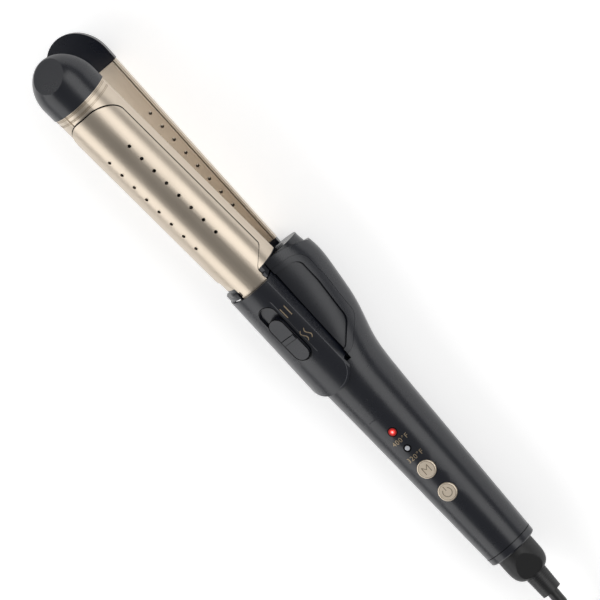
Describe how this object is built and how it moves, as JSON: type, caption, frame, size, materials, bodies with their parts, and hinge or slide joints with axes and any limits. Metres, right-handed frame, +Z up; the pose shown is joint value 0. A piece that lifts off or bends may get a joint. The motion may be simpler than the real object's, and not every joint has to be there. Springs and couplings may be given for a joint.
{
  "type": "two-in-one curling iron",
  "caption": "Hair styler whose two hinged half barrels close into one round barrel with flat plates inside and a vented curling clip on a lever.",
  "frame": {"origin": "centre of the flat rest face under the head, straight below the hinge pin", "axes": "+X from the barrel tip to the cord, +Y across, +Z up through the lever; the iron lies on its back"},
  "size_m": [0.4928, 0.079, 0.0618],
  "materials": {
    "black_plastic": "satin",
    "black_rubber": "matte",
    "gold_metal": "satin gold coating",
    "gold_plastic": "metallic gold coating",
    "heater_ceramic": "matte",
    "steel": "satin",
    "brass": "polished",
    "board_green": "gloss",
    "clear_lens": "gloss",
    "red_lens": "gloss"
  },
  "bodies": {
    "handle": {"body_back_shell": "black_plastic", "body_front_shell": "black_plastic", "head_collar": "black_plastic", "finger_rest": "black_rubber", "end_collar": "black_plastic", "far_root_block": "black_plastic", "far_barrel": "gold_metal", "far_plate": "gold_metal", "far_tip_cap": "black_plastic", "far_heater": "heater_ceramic", "far_thermal_fuse": "steel", "hinge_pin": "steel", "hinge_washers": "steel", "arm_spring": "steel", "circuit_board": "board_green", "tact_switches": "black_plastic", "indicator_leds": "clear_lens", "high_heat_lens": "red_lens", "low_heat_lens": "clear_lens", "shell_screws": "steel"},
    "near_arm": {"near_root_block": "black_plastic", "near_barrel": "gold_metal", "near_plate": "gold_metal", "near_tip_cap": "black_plastic", "near_heater": "heater_ceramic", "near_thermal_fuse": "steel", "clip_spring": "steel"},
    "clip_lever": {"clip_sheet": "gold_metal", "clip_screws": "steel", "lever_shell": "black_plastic"},
    "mode_switch": {"switch_knob": "black_plastic", "switch_latch": "black_plastic"},
    "mode_button": {"mode_button": "gold_plastic"},
    "power_button": {"power_button": "gold_plastic"},
    "cord_swivel": {"swivel_gland": "black_plastic", "strain_relief": "black_rubber", "cord_lead": "black_rubber", "cord_coil": "black_rubber", "cord_tail": "black_rubber", "cord_tie": "black_rubber", "plug_body": "black_plastic", "plug_blades": "brass"}
  },
  "joints": [
    {"name": "near_arm_hinge", "type": "hinge", "parent": "handle", "child": "near_arm", "pos_m": [0, 0, 0.0258], "axis": [0, -1, 0], "range_deg": [0, 8.6], "stiffness_Nm_per_rad": 0.6, "springref_deg": -11.46, "deforming": ["arm_spring"]},
    {"name": "clip_hinge", "type": "hinge", "parent": "near_arm", "child": "clip_lever", "pos_m": [0, 0, 0.0258], "axis": [0, 1, 0], "range_deg": [0, 8], "stiffness_Nm_per_rad": 0.25, "springref_deg": -11.46, "deforming": ["clip_spring"]},
    {"name": "mode_slide", "type": "slide", "parent": "clip_lever", "child": "mode_switch", "axis": [-0.9942, 0.0091, 0.1073], "range_m": [0, 0.0068]},
    {"name": "mode_press", "type": "slide", "parent": "handle", "child": "mode_button", "axis": [0, 0, -1], "range_m": [0, 0.0005], "stiffness_N_per_m": 400},
    {"name": "power_press", "type": "slide", "parent": "handle", "child": "power_button", "axis": [0, 0, -1], "range_m": [0, 0.0005], "stiffness_N_per_m": 400},
    {"name": "cord_spin", "type": "hinge", "parent": "handle", "child": "cord_swivel", "pos_m": [0.1235, 0, 0.0168], "axis": [1, 0, 0], "continuous": true}
  ]
}
